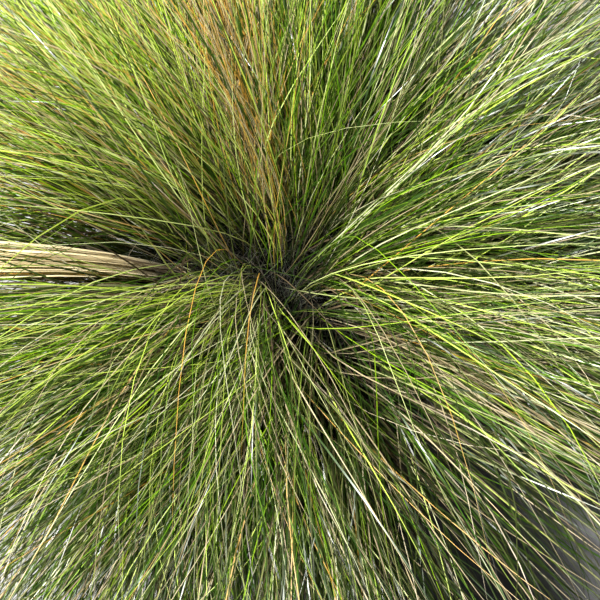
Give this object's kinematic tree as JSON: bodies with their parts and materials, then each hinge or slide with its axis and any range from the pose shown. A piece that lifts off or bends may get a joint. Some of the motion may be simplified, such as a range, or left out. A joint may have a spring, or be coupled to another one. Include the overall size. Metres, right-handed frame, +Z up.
{
  "type": "potted sand cordgrass",
  "caption": "Ornamental clump grass: narrow blades arch out in a fountain from a dense crown, in potting soil in a plain tapered round pot.",
  "frame": {"origin": "middle of the pot's flat underside, on the ground", "axes": "+Z up along the pot's axis; +X towards the right of the picture, +Y towards its top"},
  "size_m": [1.387, 1.4062, 1.082],
  "materials": {
    "terracotta": "unglazed, matt, with pale lime bloom",
    "potting_soil": null,
    "green_blades": null,
    "straw_blades": null,
    "amber_blades": null
  },
  "bodies": {
    "root": {"amber_tuft_41": "amber_blades", "amber_tuft_44": "amber_blades", "green_tuft_01": "green_blades", "green_tuft_02": "green_blades", "green_tuft_03": "green_blades", "green_tuft_04": "green_blades", "green_tuft_05": "green_blades", "green_tuft_06": "green_blades", "green_tuft_07": "green_blades", "green_tuft_08": "green_blades", "green_tuft_09": "green_blades", "green_tuft_10": "green_blades", "green_tuft_11": "green_blades", "green_tuft_12": "green_blades", "green_tuft_13": "green_blades", "green_tuft_14": "green_blades", "green_tuft_15": "green_blades", "green_tuft_16": "green_blades", "green_tuft_17": "green_blades", "green_tuft_20": "green_blades", "green_tuft_21": "green_blades", "green_tuft_22": "green_blades", "green_tuft_23": "green_blades", "green_tuft_24": "green_blades", "green_tuft_25": "green_blades", "green_tuft_26": "green_blades", "green_tuft_27": "green_blades", "green_tuft_28": "green_blades", "green_tuft_29": "green_blades", "green_tuft_31": "green_blades", "green_tuft_32": "green_blades", "green_tuft_33": "green_blades", "green_tuft_34": "green_blades", "green_tuft_35": "green_blades", "green_tuft_36": "green_blades", "green_tuft_37": "green_blades", "green_tuft_38": "green_blades", "green_tuft_39": "green_blades", "green_tuft_40": "green_blades", "green_tuft_42": "green_blades", "green_tuft_43": "green_blades", "green_tuft_45": "green_blades", "green_tuft_46": "green_blades", "pot": "terracotta", "potting_soil": "potting_soil", "straw_tuft_18": "straw_blades", "straw_tuft_19": "straw_blades", "straw_tuft_30": "straw_blades"}
  },
  "joints": []
}
